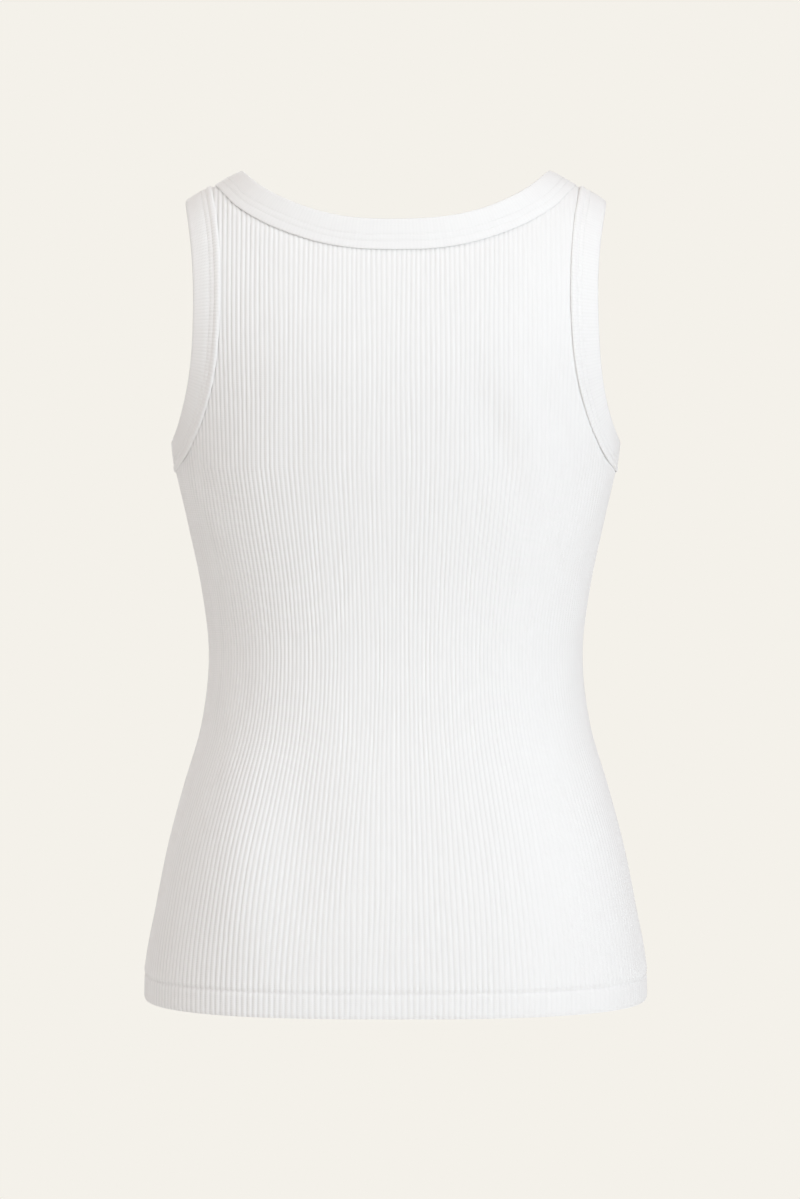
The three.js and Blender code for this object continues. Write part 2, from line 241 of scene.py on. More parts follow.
def smoothLine(points, steps):
    # a curve through the points, which leaves each along the line between its neighbours
    points = np.vstack([points[:1], points, points[-1:]])
    t = np.linspace(0, 1, steps, endpoint=False)[:, None]
    runs = []
    for before, start, end, after in zip(points[:-3], points[1:-2], points[2:-1], points[3:]):
        leave = (end - before) / 2
        arrive = (after - start) / 2
        run = (2 * start - 2 * end + leave + arrive) * t**3
        run += (3 * end - 3 * start - 2 * leave - arrive) * t**2 + leave * t + start
        runs.append(run)
    return np.vstack([*runs, points[-1:]])


def neckLine(side):
    # from the centre line to the wearer's left shoulder
    rows = onCloth(side, seams["neck"][side])
    rows[-1, 1] = 0
    mirrored = rows[:0:-1] * (-1, 1)
    line = smoothLine(np.vstack([mirrored, rows]), seams["fineSteps"])
    return line[line[:, 0] >= -seams["closeTo"]]


def armLine(side):
    # from the wearer's left shoulder down to the side seam
    rows = onCloth(side, seams["arm"][side])
    rows[0, 1] = 0
    line = smoothLine(np.vstack([rows, [ribs["halfPanel"], figure["underarm"]]]), seams["fineSteps"])
    line[:, 1] = np.minimum(line[:, 1], 0)
    return line


neckLines = {side: neckLine(side) for side in ("back", "front")}
armLines = {side: armLine(side) for side in ("back", "front")}


def toSeams(side, rib, level):
    # how far a point of the flat cloth lies below its neck seam and within its arm seam
    neck = neckLines[side]
    arm = armLines[side][::-1]
    away = np.abs(rib)
    beyond = seams["beyond"]
    below = np.interp(away, neck[:, 0], neck[:, 1], right=beyond) - level
    within = (np.interp(level, arm[:, 1], arm[:, 0], left=beyond) - away) * ribWidth(side, level)
    within = np.where(level <= figure["underarm"], beyond, within)
    return below, within


def insideSeams(side, rib, level):
    return np.minimum(*toSeams(side, rib, level)) - seams["clear"]


waves = {"count": 7, "turns": (0.6, 1.6)}


def softWaves(seed, across, along, spans):
    # a smooth uneven field, mostly between -1 and 1, of a few crossing waves
    rng = np.random.default_rng(seed)
    field = np.zeros(np.broadcast(across, along).shape)
    for _ in range(waves["count"]):
        acrossTurn = across / spans[0] * rng.uniform(*waves["turns"])
        alongTurn = along / spans[1] * rng.uniform(*waves["turns"]) * rng.choice([-1, 1])
        field = field + np.sin(acrossTurn + alongTurn + rng.uniform(0, 2 * math.pi))
    return field / math.sqrt(waves["count"])


# Panels: the cloth laid out as ribs across and levels up, with its seams cut, and then put on the figure

panel = {
    "gap": 0.02,  # from the side seam's middle
    "wall": 1.15,
    "innerRibs": 0.55,  # how much of the ribs shows inside
    "rowSpacing": 9.0,
    "firstRow": 0.8,  # of the spacing, above the hem's rows
    "shoulderLength": 200,
    "cutHalvings": 24,
    "measuredAt": 100.0,  # where the knit's length up the cloth is taken
    "stitchLine": -561,
    "hemBottom": -578,
    "hemRows": [-578, -577.5, -576.6, -575, -572, -568, -564.5, -562.6, -561.8, -561, -560.2, -559.2,
                -557.5, -555, -551],
    "hemWall": 2.3,
    "hemFade": {"above": 1.5, "over": 0.8},
    "stitchPress": 0.75,
    "stitchHalfWidth": 1.3,
    "puff": 0.35,
    "puffAt": -557.3,
    "puffHalfWidth": 2.6,
    "edgeRound": 0.7,
    "edgeRoundWidth": 1.1,
    "edgeRoundInside": 0.5,
    "seamDips": {"leftNeck": 0.75, "rightNeck": 0.15, "leftArm": 0.1, "rightArm": 0.6, "edges": 0.15},
    "neckDipFades": (-12, -34),  # ribs from the centre line
    "seamDipWidth": 2.0,
    "ribAcross": 3,  # roughly, for the dip at the side seams
    "shoulderShort": 0.01,
    "dropHeight": 0.12,
    "dropSpans": (26, 40),
}

# Soft troughs and ridges where the worn cloth pulls: place round and up, how it slants, size and depth
creases = {
    "columns": ("round", "level", "slant", "length", "width", "depth"),
    "back": [
        (148, -214, 38, 46, 10, 0.7),
        (-146, -216, -40, 52, 11, 0.7),
        (136, -236, 46, 38, 9, 0.45),
        (-137, -241, -44, 34, 9, 0.45),
        (120, -345, 84, 40, 13, 0.35),
        (-124, -352, -82, 44, 12, 0.35),
        (30, -372, 88, 60, 16, 0.25),
        (-80, -180, 70, 50, 17, -2.0),
        (80, -184, -74, 44, 20, -0.5),
        (88, -465, 90, 75, 34, 2.6),
    ],
    "front": [
        (150, -213, 40, 50, 10, 0.7),
        (-149, -215, -38, 46, 11, 0.7),
        (128, -240, 44, 36, 9, 0.4),
        (-131, -236, -47, 38, 9, 0.45),
        (118, -350, 82, 42, 13, 0.35),
        (-121, -343, -84, 38, 12, 0.35),
        (-26, -366, 86, 55, 15, 0.25),
    ],
}


def panelLevels(side):
    full = figure["fullest"][side]
    spacing = panel["rowSpacing"]
    body = np.arange(panel["hemRows"][-1] + spacing * panel["firstRow"], full, spacing)
    rows = int(panel["shoulderLength"] / spacing)
    turn = np.linspace(0, math.pi / 2, rows + 1)  # evenly over the shoulder
    upper = full * (1 - np.sin(turn))
    upper[-1] = 0
    levels = np.concatenate([panel["hemRows"], body, upper])
    near = np.abs(levels - figure["underarm"]).argmin()
    levels[near] = figure["underarm"]
    return levels


def creaseDepth(side, distance, level):
    depth = np.zeros(len(level))
    for row in creases[side]:
        crease = dict(zip(creases["columns"], row))
        turn = math.radians(crease["slant"])
        across = distance - crease["round"]
        up = level - crease["level"]
        along = (across * math.cos(turn) + up * math.sin(turn)) / crease["length"]
        off = (up * math.cos(turn) - across * math.sin(turn)) / crease["width"]
        depth += 2 * crease["depth"] * np.exp(-(along**2)) * off * np.exp(-(off**2))
    return depth


def cutGrid(side, columns, levels):
    # vertices and faces of the part of the grid that lies inside the seams
    wide, high = len(columns), len(levels)
    ribGrid, levelGrid = np.meshgrid(columns, levels, indexing="ij")
    inside = insideSeams(side, ribGrid.ravel(), levelGrid.ravel()).reshape(wide, high) > 0
    index = np.full((wide, high), -1)
    index[inside] = np.arange(inside.sum())
    points = [np.column_stack([ribGrid[inside], levelGrid[inside]])]
    crossings = {}

    def crossingsAlong(stepI, stepJ):
        first = inside[: wide - stepI, : high - stepJ]
        second = inside[stepI:, stepJ:]
        cells = np.argwhere(first != second)
        start = np.column_stack([columns[cells[:, 0]], levels[cells[:, 1]]])
        end = np.column_stack([columns[cells[:, 0] + stepI], levels[cells[:, 1] + stepJ]])
        swap = ~inside[cells[:, 0], cells[:, 1]]
        start[swap], end[swap] = end[swap].copy(), start[swap].copy()
        for _ in range(panel["cutHalvings"]):
            middle = (start + end) / 2
            held = insideSeams(side, middle[:, 0], middle[:, 1]) > 0
            start[held] = middle[held]
            end[~held] = middle[~held]
        base = sum(len(p) for p in points)
        points.append(start)
        for n, (i, j) in enumerate(cells):
            crossings[(i, j, i + stepI, j + stepJ)] = base + n

    crossingsAlong(1, 0)
    crossingsAlong(0, 1)
    full = inside[:-1, :-1] & inside[1:, :-1] & inside[1:, 1:] & inside[:-1, 1:]
    i, j = np.nonzero(full)
    faces = np.column_stack([index[i, j], index[i + 1, j], index[i + 1, j + 1], index[i, j + 1]]).tolist()
    some = inside[:-1, :-1] | inside[1:, :-1] | inside[1:, 1:] | inside[:-1, 1:]
    for i, j in np.argwhere(some & ~full):
        corners = [(i, j), (i + 1, j), (i + 1, j + 1), (i, j + 1)]
        shape = []
        for start, end in zip(corners, corners[1:] + corners[:1]):
            if inside[start]:
                shape.append(int(index[start]))
            if inside[start] != inside[end]:
                low, top = min(start, end), max(start, end)
                shape.append(crossings[(*low, *top)])
        for n in range(1, len(shape) - 1):
            faces.append([shape[0], shape[n], shape[n + 1]])
    return np.vstack(points), faces


def borderEdges(faces):
    # edges that only one face has, in that face's order
    seen = {}
    for face in faces:
        for start, end in zip(face, face[1:] + face[:1]):
            seen[(start, end)] = True
    return [edge for edge in seen if (edge[1], edge[0]) not in seen]


def ribProfile(rib):
    # 0 in a valley, 1 on a ridge, with round ridges and narrow valleys
    offValley = np.abs(rib - np.round(rib)) * 2
    return np.sin(offValley * math.pi / 2)


sharpAngle = 62  # degrees


def addMesh(name, places, faces, knit):
    mesh = bpy.data.meshes.new(name)
    mesh.from_pydata((places * mm).tolist(), [], faces)
    attribute = mesh.attributes.new("knit", "FLOAT_VECTOR", "POINT")
    attribute.data.foreach_set("vector", np.asarray(knit, np.float32).ravel())
    mesh.polygons.foreach_set("use_smooth", np.ones(len(mesh.polygons), bool))
    mesh.set_sharp_from_angle(angle=math.radians(sharpAngle))
    mesh.validate()
    piece = bpy.data.objects.new(name, mesh)
    bpy.context.collection.objects.link(piece)
    return piece


def easedStep(value, start, end):
    t = np.clip((value - start) / (end - start), 0, 1)
    return t * t * (3 - 2 * t)


def ribShare(side, distance):
    # how deep the ribs are: on the back the wearer's right is stretched flatter, and the left is deeper
    if side == "front":
        return np.ones(len(distance))
    flatter = ribs["flatter"]
    lost = easedStep(-distance, flatter["starts"], flatter["full"])
    regained = easedStep(-distance, flatter["ends"], flatter["back"])
    deeper = ribs["deeper"]
    gained = deeper["gained"] * easedStep(distance, deeper["starts"], deeper["full"])
    return 1 + gained - flatter["lost"] * lost * (1 - flatter["regained"] * regained)


def clothDistance(side, rib, level, levels, seed):
    # how far round from the centre line each point lies, and how free it is to wander from its rib
    half = ribs["halfPanel"]
    free = np.clip((half - np.abs(rib)) / ribs["calmNearSeam"], 0, 1)
    shift = ribs["wander"] * free * softWaves(seed, rib, level, ribs["wanderSpans"])
    seam = np.array([sectionAt(side, value)[0][-1] for value in levels])
    limit = np.interp(level, levels, seam)
    return np.clip((rib + shift) * ribWidth(side, level), -limit, limit), free


def ribDepths(rib, level, share, seed):
    half = ribs["halfPanel"]
    rng = np.random.default_rng(seed + 1)
    heights = rng.normal(0, ribs["uneven"] * ribs["unevenEach"], 2 * half + 2)
    uneven = 1 + heights[np.floor(rib + half).astype(int)]
    uneven = uneven + ribs["uneven"] * softWaves(seed + 2, rib, level, ribs["unevenSpans"])
    return ribs["height"] * share * np.clip(uneven, *ribs["unevenLimits"]) * (1 - ribProfile(rib))


def bell(offset, halfWidth):
    return np.exp(-((offset / halfWidth) ** 2))


def seamDip(side, rib, level):
    # how deep the cloth sinks beside its seams
    below, within = toSeams(side, rib, level)
    toSide = (ribs["halfPanel"] - np.abs(rib)) * panel["ribAcross"]
    toEdge = np.minimum(toSide, -level + panel["shoulderShort"])
    dips = panel["seamDips"]
    armDip = np.where(rib > 0, dips["leftArm"], dips["rightArm"])
    faded = easedStep(-rib, *(-place for place in panel["neckDipFades"]))
    neckDip = dips["leftNeck"] + (dips["rightNeck"] - dips["leftNeck"]) * faded
    pairs = ((neckDip, below), (armDip, within), (dips["edges"], toEdge))
    return sum(deep * bell(toSeam, panel["seamDipWidth"]) for deep, toSeam in pairs)


def wallDepths(side, rib, level, distance, free, ribDepth, seed):
    # how far the cloth's two faces lie inside the figure's surface
    groove = panel["stitchPress"] * bell(level - panel["stitchLine"], panel["stitchHalfWidth"])
    puff = panel["puff"] * bell(level - panel["puffAt"], panel["puffHalfWidth"])
    rounding = panel["edgeRound"] * bell(level - panel["hemBottom"], panel["edgeRoundWidth"])
    drop = panel["dropHeight"] * softWaves(seed + 3, distance, level, panel["dropSpans"])
    soft = (creaseDepth(side, distance, level) + drop) * free
    outer = ribDepth + groove - puff * ribProfile(rib) + rounding + seamDip(side, rib, level) + soft
    fade = panel["hemFade"]
    hem = 1 / (1 + np.exp((level - panel["stitchLine"] - fade["above"]) / fade["over"]))
    wall = panel["wall"] + (panel["hemWall"] - panel["wall"]) * hem
    return outer, wall + panel["innerRibs"] * ribDepth - panel["edgeRoundInside"] * rounding + soft


def addPanel(name, side, seed):
    half = ribs["halfPanel"]
    columns = np.linspace(-half, half, 2 * half * ribs["columnsEach"] + 1)
    levels = panelLevels(side)
    flat, faces = cutGrid(side, columns, levels)
    rib, level = flat[:, 0], flat[:, 1]
    distance, free = clothDistance(side, rib, level, levels, seed)
    share = ribShare(side, distance)
    ribDepth = ribDepths(rib, level, share, seed)

    places = surfacePoints(side, distance, level, panel["gap"])
    normals = surfaceNormals(side, distance, level)
    facing = figure["facing"][side]
    both = []
    for depth in wallDepths(side, rib, level, distance, free, ribDepth, seed):
        moved = places - normals * depth[:, None]
        moved[:, 1] = facing * np.maximum(facing * moved[:, 1], panel["gap"])
        both.append(moved)

    count = len(flat)
    if side == "back":
        faces = [face[::-1] for face in faces]
    rim = [[end, start, start + count, end + count] for start, end in borderEdges(faces)]
    inside = [[corner + count for corner in face[::-1]] for face in faces]
    climb = surfacePoints(side, np.full(len(levels), panel["measuredAt"]), levels)
    lengths = np.concatenate([[0], np.cumsum(np.linalg.norm(np.diff(climb, axis=0), axis=1))])
    length = np.interp(level, levels, lengths)
    # the third value is the mask for the painted shade in the rib valleys, so that shade is fainter where
    # the ribs are flatter and deeper where they are deeper
    knit = np.column_stack([rib + ribs["patternStart"], length, share * (1 - ribProfile(rib))])
    return addMesh(name, np.vstack(both), faces + inside + rim, np.vstack([knit, knit]))


backPanel = addPanel("backPanel", "back", 11)
frontPanel = addPanel("frontPanel", "front", 23)
print("panels made")


# Bands: a folded strip's section carried round each opening, laid out from the panels' edge

bands = {
    "neck": {
        "width": 20.5,
        "tilt": 15,
        "rows": (4.6, 9.0),
        "lipHeight": 0.82,
        "ribHeight": 0.03,
        "grooveDepth": 0.22,
    },
    "arm": {
        "width": 20.0,
        "tilt": -3,
        "rows": (3.9, 7.3),
        "lipHeight": 1.1,
        "ribHeight": 0.2,
        "grooveDepth": 0.42,
    },
    "stationSpacing": 0.65,
    "closestStations": 1e-3,
    "ribPitch": 2.6,
    "thickness": 2.1,
    "crown": 0.62,  # the face's height at the seam, over the ribs' tops
    "crownFall": 0.2,  # to the folded edge
    # out from the seam, and height
    "seamSide": [(0.14, -1.2), (0.14, 0.03), (-0.9, 0.03), (-1.15, 0.12)],
    # out from the seam, share of the lip's height, and what is added
    "lip": [(-1.05, 0.39, 0), (-0.6, 0.73, 0), (0.2, 1, -0.03), (1.2, 1, 0), (2.3, 1, -0.1)],
    # places out from the seam, about each row, and in from the folded edge
    "face": {"first": 3.4, "aboutRows": (-0.75, -0.4, 0, 0.4, 0.75), "plain": (11.4, 13.6, 15.8),
             "last": (2.6, 1.4)},
    # in from the folded edge, and height
    "fold": [(0.5, 0.12), (0.05, -0.4), (0.02, -0.95), (0.4, -1.5), (1.3, -1.85)],
    # along the underside: in from the folded edge, out from the seam, and the corner's place and rise
    "underside": {"nearFold": 5, "nearSeam": 3.0, "corner": 0.6, "cornerRise": 0.1},
    "faceAbove": 0.2,  # points of the outline higher than this are on the face
    "grooveHalfWidth": 0.5,
    "grooveWave": 0.2,
    "threadSink": 0.75,  # of the groove
    "swell": {"height": 0.12, "spans": (19, 9), "from": 1},
    "drift": {"width": 0.25, "spans": (23, 1)},
    "softening": {"places": 8, "normals": 60, "foldedEdge": 1200},  # passes
    "alongStations": 4,
    "patternStart": 100,
}


def surfaceRing(parts):
    # points and normals round an opening, from stretches of seam on the two sides
    places = np.vstack([surfacePoints(side, line[:, 0] * ribWidth(side, line[:, 1]), line[:, 1])
                        for side, line in parts])
    normals = np.vstack([surfaceNormals(side, line[:, 0] * ribWidth(side, line[:, 1]), line[:, 1])
                         for side, line in parts])
    apart = np.linalg.norm(np.roll(places, -1, axis=0) - places, axis=1)
    keep = apart > bands["closestStations"]
    places, normals = places[keep], normals[keep]
    closed = np.vstack([places, places[:1]])
    lengths = np.concatenate([[0], np.cumsum(np.linalg.norm(np.diff(closed, axis=0), axis=1))])
    count = int(round(lengths[-1] / bands["stationSpacing"]))
    wanted = np.linspace(0, lengths[-1], count, endpoint=False)
    closedNormals = np.vstack([normals, normals[:1]])
    places = np.column_stack([np.interp(wanted, lengths, closed[:, k]) for k in range(3)])
    normals = np.column_stack([np.interp(wanted, lengths, closedNormals[:, k]) for k in range(3)])
    passes = bands["softening"]
    normals = unit(softened(normals, passes["normals"]))
    return softened(places, passes["places"]), normals, wanted, lengths[-1]


def softened(ring, passes):
    for _ in range(passes):
        ring = (np.roll(ring, 1, axis=0) + 2 * ring + np.roll(ring, -1, axis=0)) / 4
    return ring


def unit(vectors):
    return vectors / np.linalg.norm(vectors, axis=1)[:, None]


def neckRing():
    back, front = neckLines["back"], neckLines["front"]
    flip = (-1, 1)
    return surfaceRing([
        ("back", back[::-1]), ("back", back[1:] * flip),
        ("front", front[::-1] * flip), ("front", front[1:]),
    ])


def armRing(across):
    return surfaceRing([
        ("back", armLines["back"] * (across, 1)),
        ("front", armLines["front"][::-1] * (across, 1)),
    ])


def ringFrames(places, normals):
    # at each station, the direction out over the opening and the one up off the cloth
    step = bands["alongStations"]
    along = unit(np.roll(places, -step, axis=0) - np.roll(places, step, axis=0))
    out = unit(np.cross(along, normals))
    towards = places.mean(axis=0) - places
    out *= np.sign((out * towards).sum(axis=1).sum())
    up = np.cross(out, along)
    return out, unit(up * np.sign((up * normals).sum(axis=1))[:, None])


def faceHeight(out, width):
    return bands["crown"] - bands["crownFall"] * (out / width) ** 2


def bandOutline(sizes):
    # out from the seam, and height over the ribs' tops
    width = sizes["width"]
    lip = sizes["lipHeight"]
    under = -bands["thickness"]
    marks = bands["face"]
    aboutRows = [row + np.array(marks["aboutRows"]) for row in sizes["rows"]]
    ends = [width - inset for inset in marks["last"]]
    face = np.unique(np.round(np.concatenate([[marks["first"]], *aboutRows, marks["plain"], ends]), 3))
    outline = list(bands["seamSide"])
    outline += [(out, share * lip + more) for out, share, more in bands["lip"]]
    outline += [(out, faceHeight(out, width)) for out in face]
    outline += [(width - inset, height) for inset, height in bands["fold"]]
    below = bands["underside"]
    outline += [(out, under) for out in (width - below["nearFold"], width / 2, below["nearSeam"])]
    outline.append((below["corner"], under + below["cornerRise"]))
    return np.array(outline)


def faceRelief(sizes, across, height, stations, ribPlace, seed):
    # height with the face's cross ribs, pressed rows and slow swells
    onFace = height[0] > bands["faceAbove"]
    onFace &= across[0] > 0
    height = height.copy()
    height[:, onFace] += (sizes["ribHeight"] * (ribProfile(ribPlace) - 0.5))[:, None]
    wave = bands["grooveWave"]  # a groove is shallower where it crosses a rib
    for row in sizes["rows"]:
        press = sizes["grooveDepth"] * (1 - wave + wave * np.cos(2 * math.pi * ribPlace))[:, None]
        height -= np.where(onFace[None, :], press * bell(across - row, bands["grooveHalfWidth"]), 0)
    swell = bands["swell"]
    waved = swell["height"] * softWaves(seed, stations[:, None], across, swell["spans"])
    return height + waved * (across > swell["from"]) * (height > 0)


def addBand(name, ring, sizes, seed):
    places, normals, stations, total = ring
    out, up = ringFrames(places, normals)
    outline = bandOutline(sizes)
    tilt = math.radians(sizes["tilt"])
    width = sizes["width"]
    count = len(places)
    across = np.broadcast_to(outline[:, 0], (count, len(outline)))
    height = np.broadcast_to(outline[:, 1], (count, len(outline)))
    ribPlace = stations / total * round(total / bands["ribPitch"])
    height = faceRelief(sizes, across, height, stations, ribPlace, seed)
    drift = bands["drift"]
    drifted = drift["width"] * softWaves(seed + 5, stations, 0 * stations, drift["spans"])
    reach = across + drifted[:, None] * (across / width)
    lean = np.maximum(reach, 0)
    aside = np.minimum(reach, 0) + lean * math.cos(tilt)
    shape = places[:, None, :] + out[:, None, :] * aside[..., None]
    shape = shape + up[:, None, :] * (lean * math.sin(tilt) + height)[..., None]
    rounded = (np.clip(across / width, 0, 1) ** 2)[..., None]
    shape = shape + rounded * (softened(shape, bands["softening"]["foldedEdge"]) - shape)

    grid = np.arange(count * len(outline)).reshape(count, -1)
    nextRow = np.roll(grid, -1, axis=0)
    nextPoint = np.roll(grid, -1, axis=1)
    corners = [grid, nextRow, np.roll(nextRow, -1, axis=1), nextPoint]
    faces = np.stack(corners, axis=-1).reshape(-1, 4)
    flat = shape.reshape(-1, 3)
    if signedVolume(flat, faces) < 0:
        faces = faces[:, ::-1]
    knit = np.stack([
        np.broadcast_to(ribPlace[:, None], across.shape),
        across + bands["patternStart"],
        # third value: the mask for the painted shade in the cross ribs' valleys
        np.broadcast_to((1 - ribProfile(ribPlace))[:, None], across.shape),
    ], axis=-1)
    piece = addMesh(name, flat, faces.tolist(), knit.reshape(-1, 3))

    rows = []
    for row in sizes["rows"]:
        rise = faceHeight(row, width) - bands["threadSink"] * sizes["grooveDepth"]
        rows.append(places + out * row * math.cos(tilt) + up * (row * math.sin(tilt) + rise))
    return piece, rows


def signedVolume(places, faces):
    a, b, c, d = (places[faces[:, k]] for k in range(4))
    return (np.cross(a, b) * c).sum() + (np.cross(a, c) * d).sum()


neckBand, neckRows = addBand("neckBand", neckRing(), bands["neck"], 31)
armBandLeft, armRowsLeft = addBand("armBandLeft", armRing(1), bands["arm"], 37)
armBandRight, armRowsRight = addBand("armBandRight", armRing(-1), bands["arm"], 41)
print("bands made")


# Stitches: small threads set along each row by one node tree

stitches = {
    "spacing": 2.7,
    "length": 2.1,
    "radius": 0.2,
    "hemSpacing": 3.1,
    "hemLength": 2.3,
    "hemRadius": 0.22,
    "sink": 0.62,  # of the hem's groove
    "ribSink": 0.4,  # of the ribs' height
    "hemSteps": 500,  # for each panel
    "offSeam": 0.1,
    "sides": 8,
    "rings": 5,
    "varies": (0.88, 1.08),
}


def stitchTree():
    tree = bpy.data.node_groups.new("stitchRow", "GeometryNodeTree")
    face = tree.interface
    face.new_socket("Geometry", in_out="INPUT", socket_type="NodeSocketGeometry")
    for name in ("Spacing", "Length", "Radius"):
        face.new_socket(name, in_out="INPUT", socket_type="NodeSocketFloat")
    face.new_socket("Seed", in_out="INPUT", socket_type="NodeSocketInt")
    face.new_socket("Material", in_out="INPUT", socket_type="NodeSocketMaterial")
    face.new_socket("Geometry", in_out="OUTPUT", socket_type="NodeSocketGeometry")
    nodes, links = tree.nodes, tree.links
    given = nodes.new("NodeGroupInput")
    result = nodes.new("NodeGroupOutput")
    points = nodes.new("GeometryNodeCurveToPoints")
    points.mode = "LENGTH"
    thread = nodes.new("GeometryNodeMeshUVSphere")
    thread.inputs["Segments"].default_value = stitches["sides"]
    thread.inputs["Rings"].default_value = stitches["rings"]
    thread.inputs["Radius"].default_value = 1.0
    halfLength = nodes.new("ShaderNodeMath")
    halfLength.operation = "MULTIPLY"
    halfLength.inputs[1].default_value = 0.5
    size = nodes.new("ShaderNodeCombineXYZ")
    vary = nodes.new("FunctionNodeRandomValue")
    vary.data_type = "FLOAT"
    vary.inputs[2].default_value, vary.inputs[3].default_value = stitches["varies"]
    scaled = nodes.new("ShaderNodeVectorMath")
    scaled.operation = "SCALE"
    place = nodes.new("GeometryNodeInstanceOnPoints")
    realize = nodes.new("GeometryNodeRealizeInstances")
    smooth = nodes.new("GeometryNodeSetShadeSmooth")
    paint = nodes.new("GeometryNodeSetMaterial")
    links.new(given.outputs["Geometry"], points.inputs["Curve"])
    links.new(given.outputs["Spacing"], points.inputs["Length"])
    links.new(points.outputs["Points"], place.inputs["Points"])
    links.new(points.outputs["Rotation"], place.inputs["Rotation"])
    links.new(thread.outputs["Mesh"], place.inputs["Instance"])
    links.new(given.outputs["Length"], halfLength.inputs[0])
    links.new(given.outputs["Radius"], size.inputs["X"])
    links.new(given.outputs["Radius"], size.inputs["Y"])
    links.new(halfLength.outputs[0], size.inputs["Z"])
    links.new(given.outputs["Seed"], vary.inputs["Seed"])
    links.new(size.outputs[0], scaled.inputs[0])
    links.new(vary.outputs[1], scaled.inputs["Scale"])
    links.new(scaled.outputs[0], place.inputs["Scale"])
    links.new(place.outputs["Instances"], realize.inputs["Geometry"])
    links.new(realize.outputs["Geometry"], smooth.inputs["Geometry"])
    links.new(smooth.outputs["Geometry"], paint.inputs["Geometry"])
    links.new(given.outputs["Material"], paint.inputs["Material"])
    links.new(paint.outputs["Geometry"], result.inputs["Geometry"])
    return tree


def addStitches(name, rows, spacing, length, radius, seed):
    curve = bpy.data.curves.new(name + "Path", "CURVE")
    curve.dimensions = "3D"
    for row in rows:
        spline = curve.splines.new("POLY")
        spline.points.add(len(row) - 1)
        spline.points.foreach_set("co", np.column_stack([row * mm, np.ones(len(row))]).ravel())
        spline.use_cyclic_u = True
    path = bpy.data.objects.new(name + "Path", curve)
    bpy.context.collection.objects.link(path)
    modifier = path.modifiers.new("stitches", "NODES")
    modifier.node_group = stitchNodes
    sockets = {item.name: item.identifier for item in stitchNodes.interface.items_tree
               if item.in_out == "INPUT"}
    modifier[sockets["Spacing"]] = spacing * mm
    modifier[sockets["Length"]] = length * mm
    modifier[sockets["Radius"]] = radius * mm
    modifier[sockets["Seed"]] = seed
    modifier[sockets["Material"]] = threadMaterial
    depsgraph = bpy.context.evaluated_depsgraph_get()
    mesh = bpy.data.meshes.new_from_object(path.evaluated_get(depsgraph), depsgraph=depsgraph)
    mesh.name = name
    bpy.data.objects.remove(path)
    piece = bpy.data.objects.new(name, mesh)
    bpy.context.collection.objects.link(piece)
    return piece


def hemRow():
    # once round the hem, down in the groove that the stitches press
    parts = []
    for side, sign in (("back", -1), ("front", 1)):
        half = ribs["halfPanel"] * ribWidth(side, panel["stitchLine"])
        distance = np.linspace(-half, half, stitches["hemSteps"])[::sign][:-1]
        level = np.full(len(distance), float(panel["stitchLine"]))
        depth = ribs["height"] * stitches["ribSink"] + panel["stitchPress"] * stitches["sink"]
        inner = half - stitches["offSeam"]
        normals = surfaceNormals(side, np.clip(distance, -inner, inner), level)
        parts.append(surfacePoints(side, distance, level) - normals * depth)
    return np.vstack(parts)


# Materials: matte white cotton, with its stitches, its tone and a painted shade in the rib valleys from
# node groups

cloth = {
    # knit stitches' height in millimetres, how they slant, the painted shade in the valleys and the
    # bump's strength
    "ribKnit": {"base": (0.93, 0.93, 0.925), "stitch": 1.25, "slant": 1.1, "valleyShade": 0.075, "bump": 0.6},
    "bandKnit": {"base": (0.94, 0.94, 0.935), "stitch": 1.1, "slant": 0.9, "valleyShade": 0.03, "bump": 0.5},
    "roughness": 0.92,
    "specular": 0.25,
    "sheen": 0.12,
    "sheenRoughness": 0.6,
    "bumpDepth": 0.12,
    "legSharpness": 9.0,  # of the gap between a knit stitch's two legs
    "fuzz": {"amount": 0.5, "scale": 2.3, "detail": 3.0},
    "yarn": {"uneven": 0.035, "scale": 1.0, "detail": 2.0, "stretch": (1.0, 0.04, 0.0)},
    # how the painted valley shade narrows towards the valley floor
    "valleyShadePower": 2.0,
    "thread": {"base": (0.94, 0.94, 0.935), "darker": 0.93, "roughness": 0.7, "scale": 900},
}


def groupMath(tree, operation, first, second=None, third=None, clamp=False):
    node = tree.nodes.new("ShaderNodeMath")
    node.operation = operation
    node.use_clamp = clamp
    for socket, value in zip(node.inputs, (first, second, third)):
        if value is None:
            continue
        if isinstance(value, (int, float)):
            socket.default_value = value
        else:
            tree.links.new(value, socket)
    return node.outputs[0]


